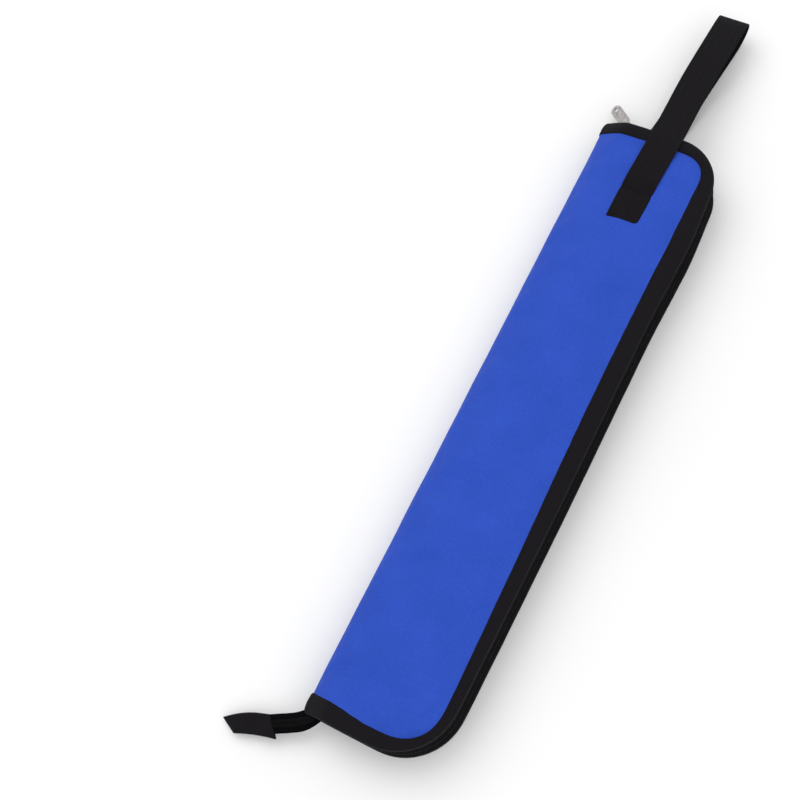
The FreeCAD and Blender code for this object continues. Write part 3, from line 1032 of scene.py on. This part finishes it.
def pocket(side):
    """Stick pocket sewn to the lining on three sides, open at its hemmed mouth."""
    mouth, foot = TOP - 157.0, -TOP + 11.6
    lining = THICK - FACE_Z - COVER_T - 0.5
    lift = lining - (MID + 0.45)
    rows, cols = 60, 22
    grid = []
    for r in range(rows + 1):
        y = foot + (mouth - foot) * (r / rows) ** 0.9
        over = max(-y - (TOP - FOOT_R), 0.0)
        inner_r = FOOT_R - 11.6
        edge = WIDTH - FOOT_R + math.sqrt(max(inner_r ** 2 - over ** 2, 0.0))
        row = []
        for c in range(cols + 1):
            f = c / cols
            x = POCKET_X0 + (edge - POCKET_X0) * f
            shape = smooth(f / 0.25) * smooth((1.0 - f) / 0.10) * smooth((y - foot) / 16.0)
            base = min(lining, cad_face(x) - COVER_T - 0.4)
            z = base - lift * shape - 0.1
            if shape > 0.3:
                z = min(z + 0.5 * wob(x, y, 0.0, 24.0, 2.7) * shape + 0.35, lining) + 0.15
            row.append(Vector((x, y, max(z, MID + 0.4))))
        grid.append(row)
    grid = [[Vector(p) for p in flip(row, side)] for row in grid]
    obj = grid_piece(side + "_pocket_cloth", grid, POCKET_BLUE, side, 0.4, False)
    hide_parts(side + "_pocket")
    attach(obj, side + "_cover")
    top = grid[-1]
    sign = -1.0 if side == "front" else 1.0
    hem_rows = []
    for dy, dz in HEM_FOLD:
        hem_rows.append([Vector((p[0], p[1] + dy, p[2] + sign * dz * 0.5)) for p in top])
    hem = grid_piece(side + "_pocket_hem_cloth", hem_rows, POCKET_BLUE, side, 0.35, False)
    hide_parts(side + "_pocket_hem")
    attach(hem, side + "_cover")
    for k, dy in enumerate((-1.6, -10.4)):
        line = [Vector((p[0], p[1] + dy, p[2] + sign * 0.5)) for p in top]
        row = stitches(side + "_pocket_hem_stitch_" + str(k), line, [(0, 0, sign)] * len(line),
                       BLUE_THREAD, pitch=2.8, radius=0.2)
        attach(row, side + "_cover")


for side in ("front", "back"):
    pocket(side)


# ---------------------------------------------------------------- inside: tom straps

STRAP_SEATS = {"back": (68.0, 38.0, 0.0), "front": (56.0, 50.0, 4.0)}
STRAP_LIFT = 3.2
STRAP_TILT = 4.0


def seat_matrix(side, tilt):
    """From (along, across, up) of a tom strap to the frame's millimetres."""
    x, drop, lean = STRAP_SEATS[side]
    turn = Matrix.Rotation(math.radians(-90.0 - lean), 4, "Z")
    rise = Matrix.Rotation(math.radians(-tilt), 4, "Y")
    m = Matrix.Translation((x, TOP - drop, FACE_Z + COVER_T + STRAP_LIFT)) @ turn @ rise
    if side == "front":
        m = Matrix.Translation((0, 0, THICK)) @ Matrix.Diagonal((1, 1, -1, 1)) @ m
    return m


# The swivel hook: node, piece, body, edge rounding, material, slot
HOOK_PARTS = [
    ("_hook_base", "_hook_base_moulded", "_hook_base", 0.45, PLASTIC, "hook_plastic"),
    ("_hook_body", "_hook_body_moulded", "_hook", 0.7, PLASTIC, "hook_plastic"),
    ("_hook_gate", "_hook_gate_moulded", "_gate", 0.35, PLASTIC, "hook_plastic"),
    ("_hook_gate_pin", "_hook_pin_turned", "_hook", 0.12, PIN, "pin_steel"),
]


def tom_strap(side):
    m = seat_matrix(side, STRAP_TILT)
    line = spline([(-1.0, 0, 0.0), (10, 0, 0.1), (30, 0, 0.25), (50, 0, 0.1), (61.0, 0, 0.2),
                   (63.6, 0, 1.0), (66.0, 0, 2.0), (68.2, 0, 0.9), (68.3, 0, -0.9), (66.0, 0, -2.0),
                   (63.4, 0, -1.3), (60.0, 0, -1.1), (52.0, 0, -1.1)], 5)
    pts = [m @ p for p in line]
    side_vec = m.to_3x3() @ Vector((0, 1, 0))
    obj = strap(side + "_tom_strap_webbing", pts, [side_vec] * len(pts), 13.6, 1.0, WEBBING)
    modify(obj, "SUBSURF", levels=1)
    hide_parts(side + "_tom_strap")
    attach(obj, side + "_strap")
    lines = [(53.5, -5.4), (53.5, 5.4), (59.5, 5.4), (59.5, -5.4), (53.5, -5.4)]
    dense = []
    for a, b in zip(lines, lines[1:]):
        for k in range(6):
            f = k / 6.0
            dense.append(m @ Vector((a[0] + (b[0] - a[0]) * f, a[1] + (b[1] - a[1]) * f, 0.75)))
    up = m.to_3x3() @ Vector((0, 0, 1))
    row = stitches(side + "_tom_strap_stitch", dense, [up] * len(dense), THREAD,
                   pitch=2.2, radius=0.2)
    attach(row, side + "_strap")
    flat = seat_matrix(side, 0.0)
    line = spline([(1.0, 0, -0.9), (-3.0, 0, -1.3), (-6.0, 0, -2.0), (-10.5, 0, -2.2)], 5)
    side_vec = flat.to_3x3() @ Vector((0, 1, 0))
    anchor = strap(side + "_strap_anchor_webbing", [flat @ p for p in line], [side_vec] * len(line),
                   14.6, 1.2, WEBBING)
    modify(anchor, "SUBSURF", levels=1)
    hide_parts(side + "_strap_anchor")
    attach(anchor, side + "_cover")
    up = flat.to_3x3() @ Vector((0, 0, 1))
    line = [flat @ Vector((-8.5, k, -1.5)) for k in (-6, -3, 0, 3, 6)]
    row = stitches(side + "_strap_anchor_stitch", line, [up] * 5, THREAD, pitch=2.0, radius=0.22)
    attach(row, side + "_cover")
    for node, name, body, bevel, material, slot_name in HOOK_PARTS:
        rounded_copy(side + node, side + name, side + body, bevel, material)


for side in ("front", "back"):
    tom_strap(side)


# ---------------------------------------------------------------- floor, light, camera

floor_mesh = bpy.data.meshes.new("floor")
floor_mesh.from_pydata([(-4, -4, 0), (4, -4, 0), (4, 4, 0), (-4, 4, 0)], [], [(0, 1, 2, 3)])
floor_mesh.materials.append(floor_material())
floor = bpy.data.objects.new("floor", floor_mesh)
bpy.context.scene.collection.objects.link(floor)


def area_light(name, at, target, size, power):
    data = bpy.data.lights.new(name, "AREA")
    data.shape = "DISK"
    data.size = size
    data.energy = power
    obj = bpy.data.objects.new(name, data)
    obj.location = at
    obj.rotation_euler = (Vector(target) - Vector(at)).to_track_quat("-Z", "Y").to_euler()
    bpy.context.scene.collection.objects.link(obj)


area_light("key", (-0.9, 0.5, 1.7), (0, 0, 0), 1.7, 10.0)
area_light("fill", (1.2, -0.8, 1.4), (0, 0, 0), 1.6, 6.0)
area_light("top", (0.2, 0.3, 2.2), (0, 0, 0), 1.8, 6.0)

world = bpy.data.worlds.new("studio")
world.use_nodes = True
world.node_tree.nodes["Background"].inputs["Color"].default_value = (1.0, 1.0, 1.0, 1.0)
world.node_tree.nodes["Background"].inputs["Strength"].default_value = 0.8
bpy.context.scene.world = world
bpy.context.scene.view_settings.view_transform = "Standard"

CAMERA_AT = (0.2169, -0.2418, 0.8726)
AZ, EL, ROLL = math.radians(53.23), math.radians(66.16), math.radians(-27.82)
back = Vector((math.sin(AZ) * math.cos(EL), -math.cos(AZ) * math.cos(EL), math.sin(EL)))
right = (-back).cross(Vector((0, 0, 1))).normalized()
up = right.cross(-back).normalized()
cam_x = right * math.cos(ROLL) + up * math.sin(ROLL)
cam_y = up * math.cos(ROLL) - right * math.sin(ROLL)
camera_data = bpy.data.cameras.new("camera")
camera_data.sensor_width = 36.0
camera_data.lens = 63.0
camera = bpy.data.objects.new("camera", camera_data)
camera.matrix_world = Matrix((
    (cam_x.x, cam_y.x, back.x, CAMERA_AT[0]),
    (cam_x.y, cam_y.y, back.y, CAMERA_AT[1]),
    (cam_x.z, cam_y.z, back.z, CAMERA_AT[2]),
    (0.0, 0.0, 0.0, 1.0)))
bpy.context.scene.collection.objects.link(camera)
bpy.context.scene.camera = camera
